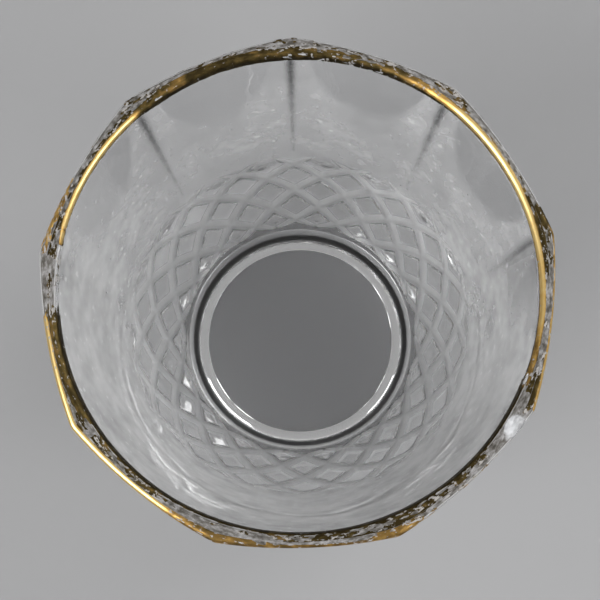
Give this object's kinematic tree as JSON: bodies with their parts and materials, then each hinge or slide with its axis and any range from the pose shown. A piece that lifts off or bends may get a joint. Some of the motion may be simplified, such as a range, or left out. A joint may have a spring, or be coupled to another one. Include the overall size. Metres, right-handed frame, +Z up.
{
  "type": "double old fashioned glass",
  "caption": "Heavy-based pressed-glass tumbler with bowed sides, a band of diamonds round its lower wall and gilding along both edges of the lip.",
  "frame": {"origin": "on the glass's axis, at the level that the foot ring rests on", "axes": "+Z up along the axis to the lip; +Y through one of the nine ridges, so that -Y faces the middle of a side"},
  "size_m": [0.093, 0.093, 0.0823],
  "materials": {
    "clear_glass": "clear fire-polished pressed glass",
    "gilding": "worn fired gilding"
  },
  "bodies": {
    "root": {"glass_body": "clear_glass", "gilding_outer_line": "gilding", "gilding_inner_line": "gilding"}
  },
  "joints": []
}
